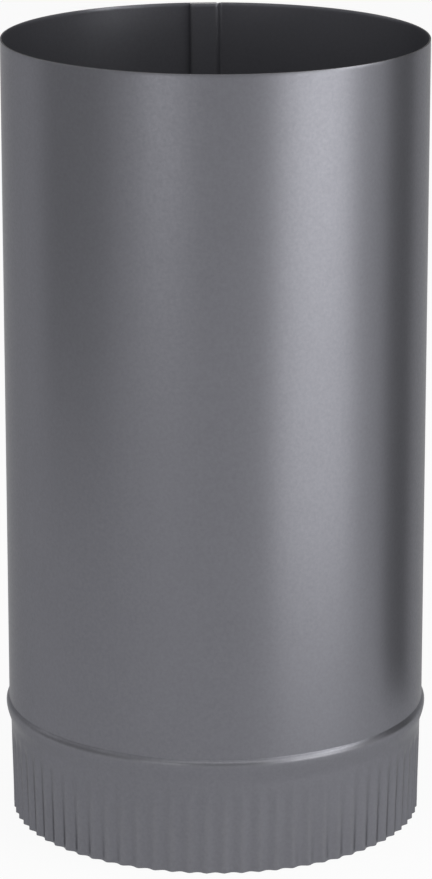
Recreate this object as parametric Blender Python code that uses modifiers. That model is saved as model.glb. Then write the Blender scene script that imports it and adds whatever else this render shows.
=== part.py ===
# A single-wall stove pipe: one steel sheet rolled round and locked along its back,
# crimped at its lower end so that it slips into the next pipe, with a bead that stops it.
# Metres, +Z up. The origin is the centre of the crimped end, and the seam lies at +Y.

import math

import bmesh
import bpy

OUTER_DIAMETER = 0.155
LENGTH = 0.292
SHEET = 0.00061

# The crimped end and the bead, each stretch measured up from the one before it
CRIMPS = 75
CRIMP_END_DEPTH = 0.0012
CRIMP_TOP_DEPTH = 0.0007
CRIMP_LENGTH = 0.0337
CRIMP_FADE = 0.0050
NECK_LENGTH = 0.0082
BEAD_SHOULDER = 0.0016
BEAD_HOLLOW = 0.0012

# How far the outline lies from the plain wall: out at the bead, in below it
BEAD_RISE = 0.0011
CRIMP_TOP_INSET = 0.0006
CRIMP_END_INSET = 0.0011

# The lock seam: two folded hooks, one in the other, flush outside and proud inside
LOCK_WIDTH = 0.0084
SEAM_SHIFT = -0.0046
PLY_GAP = 0.0002
HOOK_CLEARANCE = 0.0006
SEAM_CRIMP_SHARE = 0.45

# How finely the curves are cut
WAVE_KNOTS = 4
BEND_STEPS = 6
JOGGLE_STEPS = 3
NECK_LEVELS = 5
SHOULDER_LEVELS = 2
HOLLOW_LEVELS = 2

PAINT_COLOR = (0.165, 0.166, 0.187, 1.0)
PAINT_ROUGHNESS = 0.34

wall_radius = (OUTER_DIAMETER - SHEET) / 2
ply_step = SHEET + PLY_GAP
pitch = 2 * math.pi / CRIMPS
knot_step = pitch / WAVE_KNOTS
crest_flat = 1 / WAVE_KNOTS

crimp_full = CRIMP_LENGTH - CRIMP_FADE
crest = CRIMP_LENGTH + NECK_LENGTH
bead_corner = crest + BEAD_SHOULDER
bead_height = BEAD_SHOULDER + BEAD_HOLLOW
bead_top = crest + bead_height

# Places in the seam are measured along the wall's mid-line, which runs towards +X at the back.
# The joggle's two arcs meet where the line between their centres crosses both.
left_fold = SEAM_SHIFT - LOCK_WIDTH / 2
right_fold = SEAM_SHIFT + LOCK_WIDTH / 2
joggle_radius = 2 * ply_step
joggle_tilt = math.asin((joggle_radius - ply_step) / (2 * joggle_radius))
joggle_end = right_fold + 2 * joggle_radius * math.cos(joggle_tilt)


def smooth(share):
    """Ease from 0 to 1, level at both ends."""
    share = min(1.0, max(0.0, share))
    return share * share * (3 - 2 * share)


def outline_offset(z):
    """How far the sheet lies outside (or, below nought, inside) the plain wall at a height."""
    if z <= CRIMP_LENGTH:
        widened = (CRIMP_END_INSET - CRIMP_TOP_INSET) * smooth(z / CRIMP_LENGTH)
        return widened - CRIMP_END_INSET
    if z <= crest:
        swept_out = smooth((z - CRIMP_LENGTH) / NECK_LENGTH)
        return (CRIMP_TOP_INSET + BEAD_RISE) * swept_out - CRIMP_TOP_INSET
    if z <= bead_corner:
        return BEAD_RISE * (1 - (z - crest) ** 2 / (BEAD_SHOULDER * bead_height))
    return BEAD_RISE * max(0.0, bead_top - z) ** 2 / (BEAD_HOLLOW * bead_height)


def seam_share(angle):
    """How much of the crimps' depth is left: less where they cross the four plies of the seam."""
    along = math.remainder(angle, 2 * math.pi) * wall_radius
    outside = max(left_fold - ply_step - along, along - joggle_end, 0.0)
    blend = min(1.0, outside / (pitch * wall_radius))
    return SEAM_CRIMP_SHARE + (1 - SEAM_CRIMP_SHARE) * blend


def crimp_offset(angle, z):
    """How deep a crimp presses the sheet in: flat crests and valleys with straight flanks between."""
    from_valley = abs(math.remainder(angle - math.pi, pitch)) / (pitch / 2)
    flank = (1 - crest_flat - from_valley) / (1 - 2 * crest_flat)
    valley = min(1.0, max(0.0, flank))
    depth = CRIMP_END_DEPTH + (CRIMP_TOP_DEPTH - CRIMP_END_DEPTH) * z / CRIMP_LENGTH
    return depth * valley * smooth((CRIMP_LENGTH - z) / CRIMP_FADE) * seam_share(angle)


def arc(centre, radius, start, end, steps):
    """Points round a fold, both ends included, its angles in degrees."""
    turns = (math.radians(start + (end - start) * i / steps) for i in range(steps + 1))
    return [(centre[0] + radius * math.cos(t), centre[1] + radius * math.sin(t)) for t in turns]


def straight(start, end, depth, knots_apart):
    """Points strictly between two places on a ply, wherever the crimps' outline bends."""
    step = knot_step * wall_radius * knots_apart
    shift = (math.pi + knot_step / 2) * wall_radius
    margin = knot_step * wall_radius / 4
    low, high = min(start, end) + margin, max(start, end) - margin
    first = math.ceil((low - shift) / step)
    last = math.floor((high - shift) / step)
    places = [(shift + step * k, -depth) for k in range(first, last + 1)]
    return places if end > start else places[::-1]


def seam_section():
    """The sheet's mid-line from edge to edge: places along the wall, and how far in each lies."""
    middle, hidden, inner = ply_step, 2 * ply_step, 3 * ply_step
    tilt = math.degrees(joggle_tilt)

    # The left edge's hook folds back behind the wall, which then runs once round the pipe
    left_tip = left_fold + HOOK_CLEARANCE
    beside_seam = left_fold - 2 * ply_step
    wall_end = joggle_end - 2 * math.pi * wall_radius
    section = [(left_tip, -hidden)]
    section += straight(left_tip, right_fold, hidden, 1)
    section += arc((right_fold, -middle), ply_step, -90, 90, BEND_STEPS)
    section += straight(right_fold, beside_seam, 0.0, 1)
    section += straight(beside_seam, wall_end, 0.0, 2)

    # The wall's other end joggles in behind the first fold, and its hook folds into that one
    right_tip = right_fold - HOOK_CLEARANCE
    section += arc((joggle_end, -joggle_radius), joggle_radius, 90, 180 - tilt, JOGGLE_STEPS)
    section += arc((right_fold, -middle), joggle_radius, -tilt, -90, JOGGLE_STEPS)[1:]
    section += straight(right_fold, left_fold, inner, 1)
    section += arc((left_fold, -hidden), ply_step, -90, -270, BEND_STEPS)
    section += straight(left_fold, right_tip, middle, 1)
    section.append((right_tip, -middle))
    return section


def levels():
    """Heights of the rings of points, close together above and below the bead's ridge."""
    neck = [CRIMP_LENGTH + NECK_LENGTH * i / NECK_LEVELS for i in range(NECK_LEVELS + 1)]
    shoulder = [crest + BEAD_SHOULDER * i / SHOULDER_LEVELS for i in range(1, SHOULDER_LEVELS + 1)]
    hollow = [bead_corner + BEAD_HOLLOW * i / HOLLOW_LEVELS for i in range(1, HOLLOW_LEVELS + 1)]
    return [0.0, crimp_full, *neck, *shoulder, *hollow, LENGTH]


def rolled_sheet():
    """The mid-surface of the sheet, rolled round but not yet beaded or crimped."""
    sheet = bmesh.new()
    points = []
    for along, out in seam_section():
        angle = along / wall_radius
        radius = wall_radius + out
        points.append(sheet.verts.new((radius * math.sin(angle), radius * math.cos(angle), 0.0)))
    ring = [sheet.edges.new(pair) for pair in zip(points, points[1:])]
    heights = levels()
    for low, high in zip(heights, heights[1:]):
        grown = bmesh.ops.extrude_edge_only(sheet, edges=ring)["geom"]
        raised = [item for item in grown if isinstance(item, bmesh.types.BMVert)]
        bmesh.ops.translate(sheet, verts=raised, vec=(0.0, 0.0, high - low))
        ring = [
            item
            for item in grown
            if isinstance(item, bmesh.types.BMEdge) and all(vert in raised for vert in item.verts)
        ]
    return sheet


def refine_crimps(sheet):
    """Halve the wide columns of the crimped stretch, so that each crimp has its crest and valley."""
    widest = 1.5 * knot_step * wall_radius
    top = CRIMP_LENGTH + SHEET
    hoops = [
        edge
        for edge in sheet.edges
        if edge.calc_length() > widest
        and abs(edge.verts[0].co.z - edge.verts[1].co.z) < SHEET
        and edge.verts[0].co.z < top
    ]
    bmesh.ops.subdivide_edges(
        sheet, edges=hoops, cuts=1, use_grid_fill=True, use_single_edge=True
    )


def press(sheet):
    """Roll the bead and press the crimps, each point moving in or out from the pipe's axis."""
    for point in sheet.verts:
        x, y, z = point.co
        angle = math.atan2(x, y)
        radius = math.hypot(x, y)
        moved = radius + outline_offset(z) - crimp_offset(angle, z)
        point.co = (x * moved / radius, y * moved / radius, z)


def split_twisted(sheet):
    """Cut the faces where the crimps fade along their shorter diagonal, alike in every ply."""
    twisted = [
        face
        for face in sheet.faces
        if all(crimp_full - SHEET < vert.co.z < CRIMP_LENGTH + SHEET for vert in face.verts)
    ]
    bmesh.ops.triangulate(sheet, faces=twisted, quad_method="SHORT_EDGE")


def thicken(sheet_object):
    """Give the sheet its thickness, half to each side of the mid-surface."""
    solidify = sheet_object.modifiers.new("thickness", "SOLIDIFY")
    solidify.thickness = SHEET
    solidify.offset = 0.0
    solidify.use_even_offset = True
    solidify.use_quality_normals = True
    graph = bpy.context.evaluated_depsgraph_get()
    return bpy.data.meshes.new_from_object(sheet_object.evaluated_get(graph))


def square_ends(mesh):
    """Both ends are sheared square, so their edges lie flat."""
    for point in mesh.vertices:
        if abs(point.co.z) < SHEET:
            point.co.z = 0.0
        elif abs(point.co.z - LENGTH) < SHEET:
            point.co.z = LENGTH


def paint():
    """Satin stove paint with a metallic sheen."""
    material = bpy.data.materials.new("stove_paint")
    material.use_nodes = True
    shader = material.node_tree.nodes["Principled BSDF"]
    shader.inputs["Base Color"].default_value = PAINT_COLOR
    shader.inputs["Roughness"].default_value = PAINT_ROUGHNESS
    shader.inputs["Metallic"].default_value = 0.7
    return material


def build():
    for old in list(bpy.data.objects):
        bpy.data.objects.remove(old, do_unlink=True)
    collection = bpy.data.collections.new("stove_pipe")
    bpy.context.scene.collection.children.link(collection)

    sheet = rolled_sheet()
    refine_crimps(sheet)
    press(sheet)
    split_twisted(sheet)
    bmesh.ops.recalc_face_normals(sheet, faces=sheet.faces)
    flat = bpy.data.meshes.new("sheet")
    sheet.to_mesh(flat)
    sheet.free()

    former = bpy.data.objects.new("sheet", flat)
    collection.objects.link(former)
    mesh = thicken(former)
    bpy.data.objects.remove(former, do_unlink=True)
    square_ends(mesh)
    mesh.shade_smooth()
    mesh.set_sharp_from_angle(angle=math.radians(50))
    mesh.name = "stove_pipe"
    mesh.materials.clear()
    mesh.materials.append(paint())
    collection.objects.link(bpy.data.objects.new("stove_pipe", mesh))


build()
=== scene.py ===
import math

import bmesh
import bpy
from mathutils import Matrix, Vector


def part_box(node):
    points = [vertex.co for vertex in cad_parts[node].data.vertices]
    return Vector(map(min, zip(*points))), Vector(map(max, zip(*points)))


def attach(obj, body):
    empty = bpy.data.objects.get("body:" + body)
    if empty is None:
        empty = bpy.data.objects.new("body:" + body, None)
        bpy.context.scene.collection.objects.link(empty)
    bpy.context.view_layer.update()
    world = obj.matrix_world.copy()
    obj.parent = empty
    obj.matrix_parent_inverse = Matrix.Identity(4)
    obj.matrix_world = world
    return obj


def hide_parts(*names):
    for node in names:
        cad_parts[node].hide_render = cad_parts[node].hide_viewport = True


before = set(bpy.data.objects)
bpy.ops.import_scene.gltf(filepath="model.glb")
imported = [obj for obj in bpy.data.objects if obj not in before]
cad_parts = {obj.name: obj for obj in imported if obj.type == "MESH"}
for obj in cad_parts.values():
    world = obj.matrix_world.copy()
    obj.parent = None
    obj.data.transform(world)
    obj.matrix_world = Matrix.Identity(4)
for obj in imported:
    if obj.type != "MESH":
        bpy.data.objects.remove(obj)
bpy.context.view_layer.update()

lowest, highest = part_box("stove_pipe")
print("frame loaded:", [round(side, 4) for side in highest - lowest])

# the sheet, bent from one line round the pipe's axis
pipe = {
    "outerDiameter": 0.155,
    "sheet": 0.00061,            # thickness
    "beadRise": 0.00109,         # bead's crest above the plain wall
    "beadShoulder": 0.0018,      # height of its round upper side
    "beadHollow": 0.0006,        # height of the sharper hollow between that and the wall
    "neckLength": 0.0080,        # the sweep from the crimps up to the crest
    "crimpTopInset": 0.0006,     # how far in from the plain wall
    "crimpEndInset": 0.0011,
    "crimps": 75,
    "crimpLength": 0.0337,
    "crimpFade": 0.0065,
    "crimpEndDepth": 0.0012,     # at the rim
    "crimpTopDepth": 0.0005,
    "crimpTaper": 1.4,           # over 1, most of the deepening is close to the rim
    "crimpWidening": 0.72,       # under 1, the valleys are wider than the ridges between them
    "lockWidth": 0.0084,         # between the seam's two folds
    "seamShift": -0.0046,        # seam's middle from the back, towards +X
    "plyGap": 0.0002,
    "hookClearance": 0.0006,
    "seamCrimpShare": 0.45,      # crimps' depth where they cross the seam
    "columns": 750,              # round the wall
    "foldSteps": 10,
    "hookSteps": 14,
    "joggleSteps": 6,
    "endGap": 0.000015,          # the tilted sheet's lower edge still stays above the floor
    "edgeBevel": 0.00010,
    "bevelSegments": 2,
    "sharpAngle": 60,            # degrees; edges sharper than this are bevelled
    "rimBand": 0.0014,         # how far the paint's lighter band reaches in from both ends, partly polish from handling and partly painted highlight
    "ridgeWearAndHighlightRise": 0.0006,       # the bead's lighter line, partly polish and partly painted highlight, is strongest this far above its crest
    "ridgeReach": 0.0012,
    "crimpWearAndHighlight": 0.6,             # polish and painted highlight on the crimps' tops, as a share of the bead's
    "crimpWearAndHighlightPower": 3,          # over 1, that polish and painted highlight keep to the middle of each top
    # how strong the rims' polish and painted highlight are
    "rimWearAndHighlight": 0.8,
    "pliesJoggled": 4,           # the joggle reaches this far past the right fold
    "pliesInside": 1.5,          # deeper than this in the wall only the seam's inner folds lie
    "pliesSheared": 3,           # the bare stack reaches this far past both folds
}
pipe["length"] = highest.z
pipe["wall"] = (pipe["outerDiameter"] - pipe["sheet"]) / 2   # mid-surface radius
pipe["ply"] = pipe["sheet"] + pipe["plyGap"]


def onWall(along, inward):
    # a place at the back: so far towards +X round the wall, and so far in from it
    angle = along / pipe["wall"]
    radius = pipe["wall"] - inward
    return Vector((radius * math.sin(angle), radius * math.cos(angle), 0.0))


def turn(bm, tip, centre, angle, steps):
    # draws the sheet's edge on round an upright axis, anticlockwise from above: its new tip
    spun = bmesh.ops.spin(
        bm, geom=[tip], cent=centre, axis=(0.0, 0.0, 1.0), dvec=(0.0, 0.0, 0.0),
        angle=angle, steps=steps, use_merge=False, use_duplicate=False,
    )
    return [item for item in spun["geom_last"] if isinstance(item, bmesh.types.BMVert)][0]


def foldSection(bm):
    # one line from edge to edge: hook, fold, once round the wall, joggle, inner ply, fold, hook
    middle = (0.0, 0.0, 0.0)
    ply, wall = pipe["ply"], pipe["wall"]
    leftFold = pipe["seamShift"] - pipe["lockWidth"] / 2
    rightFold = pipe["seamShift"] + pipe["lockWidth"] / 2
    bendRadius = 2 * ply
    firstCentre = onWall(rightFold, ply)
    reach = firstCentre.length
    bendReach = wall - bendRadius
    apart = (reach**2 + bendReach**2 - (2 * bendRadius) ** 2) / (2 * reach * bendReach)
    joggleEnd = rightFold + math.acos(apart) * wall
    secondCentre = onWall(joggleEnd, bendRadius)
    between = firstCentre - secondCentre
    hook = pipe["lockWidth"] - pipe["hookClearance"]
    hookSteps, foldSteps, joggleSteps = pipe["hookSteps"], pipe["foldSteps"], pipe["joggleSteps"]

    tip = bm.verts.new(onWall(leftFold + pipe["hookClearance"], 2 * ply))
    tip = turn(bm, tip, middle, -hook / wall, hookSteps)
    tip = turn(bm, tip, firstCentre, math.pi, foldSteps)
    onceRound = 2 * math.pi - (joggleEnd - rightFold) / wall
    tip = turn(bm, tip, middle, onceRound, pipe["columns"])
    tip = turn(bm, tip, secondCentre, secondCentre.angle(between), joggleSteps)
    tip = turn(bm, tip, firstCentre, -(-firstCentre).angle(-between), joggleSteps)
    tip = turn(bm, tip, middle, pipe["lockWidth"] / wall, hookSteps)
    tip = turn(bm, tip, onWall(leftFold, 2 * ply), -math.pi, foldSteps)
    turn(bm, tip, middle, -hook / wall, hookSteps)


def smooth(share):
    share = min(1.0, max(0.0, share))
    return share * share * (3 - 2 * share)


crimpFull = pipe["crimpLength"] - pipe["crimpFade"]
crest = pipe["crimpLength"] + pipe["neckLength"]
beadCorner = crest + pipe["beadShoulder"]
beadTop = beadCorner + pipe["beadHollow"]
# the height that each stretch ends at, and its rows, short at both rims because the bevel
# tilts the normals over a whole row
stretches = (
    (pipe["rimBand"], 1), (crimpFull, 7), (pipe["crimpLength"], 10), (crest, 11),
    (beadCorner, 7), (beadTop, 6), (pipe["length"] - pipe["rimBand"], 4), (pipe["length"], 1),
)


def outlineAt(z):
    # how far out of the plain wall the sheet lies: in at the crimps, out at the bead
    top, end, rise = -pipe["crimpTopInset"], -pipe["crimpEndInset"], pipe["beadRise"]
    if z < pipe["crimpLength"]:
        return end + (top - end) * smooth(z / pipe["crimpLength"])
    if z < crest:
        return top + (rise - top) * smooth((z - pipe["crimpLength"]) / pipe["neckLength"])
    if z < beadCorner:
        return rise * (1 - (z - crest) ** 2 / (pipe["beadShoulder"] * (beadTop - crest)))
    return rise * max(0.0, beadTop - z) ** 2 / (pipe["beadHollow"] * (beadTop - crest))


def crimpAt(angle, z):
    # rounded corrugations, with a valley at the front and shallower across the seam
    along = math.remainder(angle, 2 * math.pi) * pipe["wall"]
    left = pipe["seamShift"] - pipe["lockWidth"] / 2 - pipe["ply"]
    right = pipe["seamShift"] + pipe["lockWidth"] / 2 + pipe["pliesJoggled"] * pipe["ply"]
    outside = max(left - along, along - right, 0.0)
    pitch = 2 * math.pi / pipe["crimps"]
    blend = min(1.0, outside / (pitch * pipe["wall"]))
    share = pipe["seamCrimpShare"] + (1 - pipe["seamCrimpShare"]) * blend
    wave = (0.5 + 0.5 * math.cos((angle - math.pi) * pipe["crimps"])) ** pipe["crimpWidening"]
    fade = smooth((pipe["crimpLength"] - z) / pipe["crimpFade"])
    end, top = pipe["crimpEndDepth"], pipe["crimpTopDepth"]
    depth = top + (end - top) * max(0.0, 1 - z / pipe["crimpLength"]) ** pipe["crimpTaper"]
    return depth * wave * fade * share


def wearAndHighlightAt(angle, z, radius):
    # where the paint is lighter, partly polish from the next pipe and handling and partly painted
    # highlight: bead, crimps' tops, rims, seam's folds
    ridge = max(0.0, 1 - abs(z - crest - pipe["ridgeWearAndHighlightRise"]) / pipe["ridgeReach"])
    crimpTop = 0.5 - 0.5 * math.cos((angle - math.pi) * pipe["crimps"])
    onCrimps = smooth((crimpFull - z) / pipe["crimpFade"]) * crimpTop ** pipe["crimpWearAndHighlightPower"]
    rims = max(0.0, 1 - z / pipe["rimBand"], 1 - (pipe["length"] - z) / pipe["rimBand"])
    along = math.remainder(angle, 2 * math.pi) * pipe["wall"]
    fromFold = abs(abs(along - pipe["seamShift"]) - pipe["lockWidth"] / 2)
    inside = radius < pipe["wall"] - pipe["pliesInside"] * pipe["ply"]
    folds = max(0.0, 1 - fromFold / pipe["ply"]) if inside else 0.0
    return max(ridge, pipe["crimpWearAndHighlight"] * onCrimps, pipe["rimWearAndHighlight"] * rims, folds)


def bareAt(angle):
    # the stack of plies at the seam was sheared after painting and shows its steel
    along = math.remainder(angle, 2 * math.pi) * pipe["wall"]
    outside = abs(along - pipe["seamShift"]) - pipe["lockWidth"] / 2
    return 1.0 if outside < pipe["pliesSheared"] * pipe["ply"] else 0.0


def rollPipe():
    bm = bmesh.new()
    foldSection(bm)
    print("section folded:", len(bm.verts), "points")
    ring = list(bm.verts) + list(bm.edges)
    bottom = 0.0
    for top, rows in stretches:
        grown = bmesh.ops.spin(
            bm, geom=ring, cent=(0, 0, 0), axis=(0, 0, 1), dvec=(0.0, 0.0, (top - bottom) / rows),
            angle=0.0, steps=rows, use_merge=False, use_duplicate=False,
        )
        ring = [item for item in grown["geom_last"] if not isinstance(item, bmesh.types.BMFace)]
        bottom = top
    # the mask of lighter paint: polish and painted highlight
    rub = bm.verts.layers.float.new("rub")
    bare = bm.verts.layers.float.new("bare")
    for vert in bm.verts:
        x, y, z = vert.co
        radius, angle = math.hypot(x, y), math.atan2(x, y)
        moved = radius + outlineAt(z) - crimpAt(angle, z)
        vert.co = (x * moved / radius, y * moved / radius, max(z, pipe["endGap"]))
        vert[rub] = wearAndHighlightAt(angle, z, radius)
        vert[bare] = bareAt(angle)
    bmesh.ops.recalc_face_normals(bm, faces=bm.faces)
    mesh = bpy.data.meshes.new("pipeSheet")
    bm.to_mesh(mesh)
    bm.free()
    piece = bpy.data.objects.new("pipeSheet", mesh)
    bpy.context.scene.collection.objects.link(piece)

    solidify = piece.modifiers.new("thickness", "SOLIDIFY")
    solidify.thickness = pipe["sheet"]
    solidify.offset = 0.0
    solidify.use_even_offset = True
    solidify.use_quality_normals = True
    solidify.material_offset_rim = 1
    bevel = piece.modifiers.new("shearedEdge", "BEVEL")
    bevel.affect = "EDGES"
    bevel.width = pipe["edgeBevel"]
    bevel.segments = pipe["bevelSegments"]
    bevel.profile = 0.5
    bevel.material = -1
    bevel.limit_method = "ANGLE"
    bevel.angle_limit = math.radians(pipe["sharpAngle"])
    mesh.shade_smooth()
    return piece


# finishes: lengths in metres, spreads as shares of the value that they vary
paint = {
    "color": (0.163, 0.164, 0.184, 1.0),
    # the paint's marked state is lighter, smoother and more metallic: polish and painted highlight
    "markedColor": (0.205, 0.205, 0.218, 1.0),
    "metallic": 0.75,
    "markedMetallic": 0.85,
    "roughness": 0.33,
    "markedRoughness": 0.26,
    "markedAmount": 0.5,
    "markedPatch": 0.004,
    "speckleSize": 0.0012,       # the metallic flake's grain
    "speckleSpread": 0.26,
    "cloudSize": 0.022,          # uneven spraying
    "cloudSpread": 0.06,
    "bumpHeight": 0.000012,
    "edgeTint": (0.50, 0.50, 0.51, 1.0),
}
shear = {
    "color": (0.060, 0.058, 0.060, 1.0),
    "markedColor": (0.62, 0.62, 0.62, 1.0),
    "metallic": 0.45,
    "markedMetallic": 1.0,
    "roughness": 0.55,
    "markedRoughness": 0.30,
    "markedAmount": 1.8,
    "markedPatch": 0.0020,
    "speckleSize": 0.0006,       # the tearing of the shear
    "speckleSpread": 0.35,
    "cloudSize": 0.008,
    "cloudSpread": 0.20,
    "bumpHeight": 0.00003,
    "edgeTint": (1.0, 1.0, 1.0, 1.0),
}
# what both finishes' noise has in common
mottle = {
    "grainDetail": 2.5,
    "cloudDetail": 2.0,
    "noiseRoughness": 0.7,
    "grainPolish": -0.5,         # how far the grain's lighter specks are smoother
    "markDetail": 4.0,
    "markGain": 1.6,             # stretches the mask's noise, so that it has bare and full patches
    "markOffset": -0.3,
}


def newGroup(name, inputs, outputs):
    group = bpy.data.node_groups.new(name, "ShaderNodeTree")
    for socketName, kind in inputs:
        group.interface.new_socket(name=socketName, in_out="INPUT", socket_type=kind)
    for socketName, kind in outputs:
        group.interface.new_socket(name=socketName, in_out="OUTPUT", socket_type=kind)
    return group, group.nodes.new("NodeGroupInput"), group.nodes.new("NodeGroupOutput")


def mathNode(nodes, operation, *values):
    node = nodes.new("ShaderNodeMath")
    node.operation = operation
    for place, value in enumerate(values):
        node.inputs[place].default_value = value
    return node


def buildSpeckle():
    # fine grain over slow clouds, about 1 on average, for a colour or a roughness, and its height
    group, entry, leave = newGroup(
        "speckle",
        (("Speckle Size", "NodeSocketFloat"), ("Speckle Spread", "NodeSocketFloat"),
         ("Cloud Size", "NodeSocketFloat"), ("Cloud Spread", "NodeSocketFloat")),
        (("Shade", "NodeSocketFloat"), ("Polish", "NodeSocketFloat"),
         ("Height", "NodeSocketFloat")),
    )
    nodes, links = group.nodes, group.links
    place = nodes.new("ShaderNodeTexCoord")

    def noise(sizeName, detail):
        scale = mathNode(nodes, "DIVIDE", 1.0)
        links.new(entry.outputs[sizeName], scale.inputs[1])
        texture = nodes.new("ShaderNodeTexNoise")
        texture.inputs["Detail"].default_value = detail
        texture.inputs["Roughness"].default_value = mottle["noiseRoughness"]
        links.new(place.outputs["Object"], texture.inputs["Vector"])
        links.new(scale.outputs[0], texture.inputs["Scale"])
        centred = mathNode(nodes, "SUBTRACT", 0.0, 0.5)
        links.new(texture.outputs["Fac"], centred.inputs[0])
        return centred

    grain = noise("Speckle Size", mottle["grainDetail"])
    cloud = noise("Cloud Size", mottle["cloudDetail"])
    sprayed = mathNode(nodes, "MULTIPLY_ADD", 0.0, 0.0, 1.0)
    shade = mathNode(nodes, "MULTIPLY_ADD")
    polish = mathNode(nodes, "MULTIPLY_ADD", 0.0, mottle["grainPolish"], 1.0)
    polished = mathNode(nodes, "MULTIPLY_ADD")
    links.new(cloud.outputs[0], sprayed.inputs[0])
    links.new(entry.outputs["Cloud Spread"], sprayed.inputs[1])
    links.new(grain.outputs[0], shade.inputs[0])
    links.new(entry.outputs["Speckle Spread"], shade.inputs[1])
    links.new(sprayed.outputs[0], shade.inputs[2])
    links.new(grain.outputs[0], polish.inputs[0])
    links.new(cloud.outputs[0], polished.inputs[0])
    links.new(entry.outputs["Cloud Spread"], polished.inputs[1])
    links.new(polish.outputs[0], polished.inputs[2])
    links.new(shade.outputs[0], leave.inputs["Shade"])
    links.new(polished.outputs[0], leave.inputs["Polish"])
    links.new(grain.outputs[0], leave.inputs["Height"])
    return group


def buildMarkMask():
    # a ragged mask from one of the sheet's own attributes, so much of it, broken up by noise
    group, entry, leave = newGroup(
        "markMask",
        (("Where", "NodeSocketFloat"), ("Amount", "NodeSocketFloat"),
         ("Patch Size", "NodeSocketFloat")),
        (("Mask", "NodeSocketFloat"),),
    )
    nodes, links = group.nodes, group.links
    place = nodes.new("ShaderNodeTexCoord")
    scale = mathNode(nodes, "DIVIDE", 1.0)
    patches = nodes.new("ShaderNodeTexNoise")
    patches.inputs["Detail"].default_value = mottle["markDetail"]
    uneven = mathNode(nodes, "MULTIPLY_ADD", 0.0, mottle["markGain"], mottle["markOffset"])
    uneven.use_clamp = True
    there = mathNode(nodes, "MULTIPLY")
    mask = mathNode(nodes, "MULTIPLY")
    mask.use_clamp = True
    links.new(entry.outputs["Patch Size"], scale.inputs[1])
    links.new(place.outputs["Object"], patches.inputs["Vector"])
    links.new(scale.outputs[0], patches.inputs["Scale"])
    links.new(patches.outputs["Fac"], uneven.inputs[0])
    links.new(uneven.outputs[0], there.inputs[0])
    links.new(entry.outputs["Where"], there.inputs[1])
    links.new(there.outputs[0], mask.inputs[0])
    links.new(entry.outputs["Amount"], mask.inputs[1])
    links.new(mask.outputs[0], leave.inputs["Mask"])
    return group


def blend(nodes, links, mask, first, second):
    # from the first value or colour to the second by the mask
    node = nodes.new("ShaderNodeMix")
    inColor = isinstance(first, tuple)
    node.data_type = "RGBA" if inColor else "FLOAT"
    # the Mix node's sockets share their names, so they are told by their places
    firstPlace, secondPlace, resultPlace = (6, 7, 2) if inColor else (2, 3, 0)
    node.inputs[firstPlace].default_value = first
    node.inputs[secondPlace].default_value = second
    links.new(mask, node.inputs[0])
    return node.outputs[resultPlace]


def finishedMetal(name, attribute, values, speckleGroup, markGroup):
    # a plain and a marked state of one surface, with the grain over both; on the paint the marked
    # state is polish and painted highlight, on the sheared steel it is bare metal
    material = bpy.data.materials.new(name)
    material.use_nodes = True
    nodes, links = material.node_tree.nodes, material.node_tree.links
    shader = nodes["Principled BSDF"]
    where = nodes.new("ShaderNodeAttribute")
    where.attribute_name = attribute
    markMask = nodes.new("ShaderNodeGroup")
    markMask.node_tree = markGroup
    markMask.inputs["Amount"].default_value = values["markedAmount"]
    markMask.inputs["Patch Size"].default_value = values["markedPatch"]
    speckle = nodes.new("ShaderNodeGroup")
    speckle.node_tree = speckleGroup
    speckle.inputs["Speckle Size"].default_value = values["speckleSize"]
    speckle.inputs["Speckle Spread"].default_value = values["speckleSpread"]
    speckle.inputs["Cloud Size"].default_value = values["cloudSize"]
    speckle.inputs["Cloud Spread"].default_value = values["cloudSpread"]
    markOutput = markMask.outputs["Mask"]
    color = blend(nodes, links, markOutput, values["color"], values["markedColor"])
    roughness = blend(nodes, links, markOutput, values["roughness"], values["markedRoughness"])
    metallic = blend(nodes, links, markOutput, values["metallic"], values["markedMetallic"])
    shaded = nodes.new("ShaderNodeMix")
    shaded.data_type = "RGBA"
    shaded.blend_type = "MULTIPLY"
    shaded.inputs[0].default_value = 1.0
    polished = mathNode(nodes, "MULTIPLY")
    bump = nodes.new("ShaderNodeBump")
    bump.inputs["Distance"].default_value = values["bumpHeight"]
    shader.inputs["Specular Tint"].default_value = values["edgeTint"]
    links.new(where.outputs["Fac"], markMask.inputs["Where"])
    links.new(color, shaded.inputs[6])
    links.new(speckle.outputs["Shade"], shaded.inputs[7])
    links.new(shaded.outputs[2], shader.inputs["Base Color"])
    links.new(roughness, polished.inputs[0])
    links.new(speckle.outputs["Polish"], polished.inputs[1])
    links.new(polished.outputs[0], shader.inputs["Roughness"])
    links.new(metallic, shader.inputs["Metallic"])
    links.new(speckle.outputs["Height"], bump.inputs["Height"])
    links.new(bump.outputs["Normal"], shader.inputs["Normal"])
    return material


pipeSheet = rollPipe()
speckleGroup, markGroup = buildSpeckle(), buildMarkMask()
# the paint's mask is its polish and painted highlight, the sheared steel's is where it is bare
for finish in (("stovePaint", "rub", paint), ("shearedSteel", "bare", shear)):
    pipeSheet.data.materials.append(finishedMetal(*finish, speckleGroup, markGroup))
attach(pipeSheet, "root")
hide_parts("stove_pipe")
print("pipe rolled")

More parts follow.
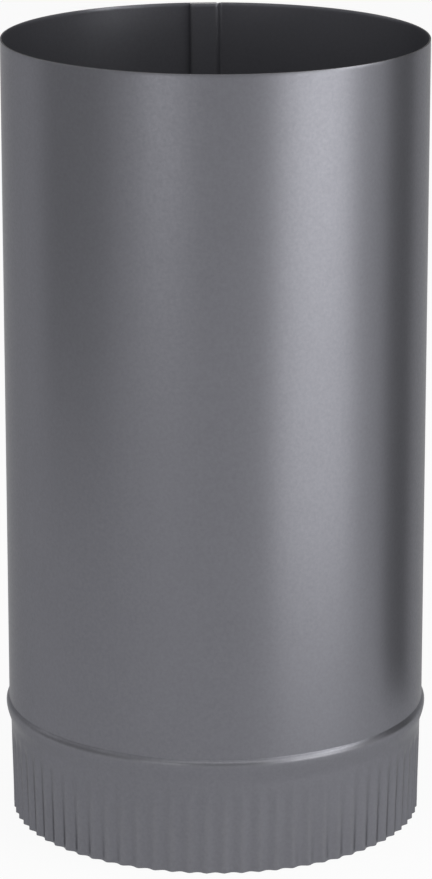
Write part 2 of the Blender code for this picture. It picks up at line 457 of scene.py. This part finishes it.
# floor, lamps, cards and camera
studio = {
    "floorSize": 12.0,
    "footRadius": 0.0745,        # nearer the pipe's axis than this the floor isn't white of itself
    "floorColor": (0.85, 0.85, 0.85, 1.0),
    "floorWhite": 0.92,          # how much of the floor shows as plain white
    "mirroredWhite": 0.80,       # and how much of it does in reflections
    "worldColor": (1.0, 1.0, 1.0, 1.0),
    "worldStrength": 0.50,
    "lampColor": (1.0, 1.0, 0.975),
    # name, the azimuth it stands at from the front, distance, bottom, top, width and radiance
    "lamps": (
        ("keyPanel", 50, 0.36, 0.002, 0.315, 0.28, 1.42),
        ("farKeyPanel", 55, 0.85, 0.05, 0.38, 0.45, 1.5),
        ("fillPanel", -26, 0.90, 0.06, 0.34, 0.36, 1.25),
        ("highPanel", 0, 1.00, 0.85, 1.35, 1.40, 1.5),
        ("highKeyPanel", 62, 0.80, 0.55, 1.20, 0.60, 1.7),
        ("rimPanel", 74, 0.50, 0.31, 0.44, 0.20, 5.0),
        ("highLeftPanel", -82, 1.00, 0.40, 1.10, 1.10, 1.0),
    ),
    "clothRoughness": 0.9,
    # dull cards that the paint mirrors: name, azimuth, distance, facing, bottom, top, width, shade
    "cards": (
        ("rightCard", 92, 0.156, 118, 0.024, 0.50, 0.060, 0.01),
        ("leftCard", -76, 0.66, -80, 0.001, 0.60, 0.56, 0.60),
    ),
}
camera = {
    "distance": 18.00,           # in outer radii, from the pipe's axis
    "aboveRim": 3.04,            # in outer radii
    "pitch": 15.47,              # degrees down
    "focal": 3911.0,             # in pixels of the photograph's frame
    "frameHeight": 879,
    "sideways": 0.54,            # pixels that the axis lies left of the middle
    "sensorWidth": 36.0,         # millimetres
    "clipEnd": 100.0,
}


def stageCard(name, width, depth):
    # a flat sheet of the studio's, lying at the origin
    bm = bmesh.new()
    bmesh.ops.create_grid(bm, x_segments=1, y_segments=1, size=0.5)
    bmesh.ops.scale(bm, vec=(width, depth, 1.0), verts=bm.verts)
    mesh = bpy.data.meshes.new(name)
    bm.to_mesh(mesh)
    bm.free()
    card = bpy.data.objects.new(name, mesh)
    bpy.context.scene.collection.objects.link(card)
    return card


def paleFloor():
    # plain white to the camera and partly so in reflections, and still shaded by the pipe
    material = bpy.data.materials.new("paleFloor")
    material.use_nodes = True
    nodes, links = material.node_tree.nodes, material.node_tree.links
    nodes.clear()
    output = nodes.new("ShaderNodeOutputMaterial")
    mix = nodes.new("ShaderNodeMixShader")
    matt = nodes.new("ShaderNodeBsdfDiffuse")
    matt.inputs["Color"].default_value = studio["floorColor"]
    white = nodes.new("ShaderNodeEmission")
    path = nodes.new("ShaderNodeLightPath")
    mirrored = mathNode(nodes, "ADD")
    mirroredShare = mathNode(nodes, "MULTIPLY", 0.0, studio["mirroredWhite"])
    share = mathNode(nodes, "MULTIPLY_ADD", 0.0, studio["floorWhite"])
    share.use_clamp = True
    place = nodes.new("ShaderNodeTexCoord")
    fromAxis = nodes.new("ShaderNodeVectorMath")
    fromAxis.operation = "LENGTH"
    outside = mathNode(nodes, "GREATER_THAN", 0.0, studio["footRadius"])
    whiteShare = mathNode(nodes, "MULTIPLY")
    links.new(place.outputs["Object"], fromAxis.inputs[0])
    links.new(fromAxis.outputs["Value"], outside.inputs[0])
    links.new(outside.outputs[0], whiteShare.inputs[0])
    links.new(share.outputs[0], whiteShare.inputs[1])
    links.new(path.outputs["Is Glossy Ray"], mirrored.inputs[0])
    links.new(path.outputs["Is Transmission Ray"], mirrored.inputs[1])
    links.new(mirrored.outputs[0], mirroredShare.inputs[0])
    links.new(path.outputs["Is Camera Ray"], share.inputs[0])
    links.new(mirroredShare.outputs[0], share.inputs[2])
    links.new(whiteShare.outputs[0], mix.inputs["Fac"])
    links.new(matt.outputs[0], mix.inputs[1])
    links.new(white.outputs[0], mix.inputs[2])
    links.new(mix.outputs[0], output.inputs["Surface"])
    return material


def dullCloth(name, shade):
    material = bpy.data.materials.new(name)
    material.use_nodes = True
    shader = material.node_tree.nodes["Principled BSDF"]
    shader.inputs["Base Color"].default_value = (shade, shade, shade, 1.0)
    shader.inputs["Roughness"].default_value = studio["clothRoughness"]
    return material


def around(azimuth, distance, height):
    angle = math.radians(azimuth)
    return Vector((distance * math.sin(angle), -distance * math.cos(angle), height))


def setStudio():
    floor = stageCard("floor", studio["floorSize"], studio["floorSize"])
    floor.data.materials.append(paleFloor())
    for name, azimuth, distance, facing, bottom, top, width, shade in studio["cards"]:
        card = stageCard(name, width, top - bottom)
        card.data.materials.append(dullCloth(name, shade))
        card.location = around(azimuth, distance, (top + bottom) / 2)
        card.rotation_euler = (math.radians(90), 0.0, math.radians(facing))
        card.visible_camera = False
        card.visible_shadow = False
    for name, azimuth, distance, bottom, top, width, radiance in studio["lamps"]:
        light = bpy.data.lights.new(name, "AREA")
        light.shape = "RECTANGLE"
        light.size, light.size_y = width, top - bottom
        light.energy = radiance * math.pi * width * (top - bottom)
        light.color = studio["lampColor"]
        lamp = bpy.data.objects.new(name, light)
        lamp.location = around(azimuth, distance, (top + bottom) / 2)
        lamp.rotation_euler = (math.radians(90), 0.0, math.radians(azimuth))
        lamp.visible_camera = False
        bpy.context.scene.collection.objects.link(lamp)
    world = bpy.data.worlds.new("studio")
    world.use_nodes = True
    background = world.node_tree.nodes["Background"]
    background.inputs["Color"].default_value = studio["worldColor"]
    background.inputs["Strength"].default_value = studio["worldStrength"]
    bpy.context.scene.world = world


def placeCamera():
    radius = pipe["wall"] + pipe["sheet"] / 2
    data = bpy.data.cameras.new("camera")
    data.sensor_width = camera["sensorWidth"]
    data.lens = camera["focal"] / camera["frameHeight"] * data.sensor_width
    data.clip_end = camera["clipEnd"]
    eye = bpy.data.objects.new("camera", data)
    eye.location = (0.0, -camera["distance"] * radius, pipe["length"] + camera["aboveRim"] * radius)
    eye.rotation_euler = (math.radians(90 - camera["pitch"]), 0.0, 0.0)
    data.shift_x = camera["sideways"] / camera["frameHeight"]
    bpy.context.scene.collection.objects.link(eye)
    bpy.context.scene.camera = eye


setStudio()
placeCamera()
bpy.context.scene.view_settings.view_transform = "Standard"
print("studio set")
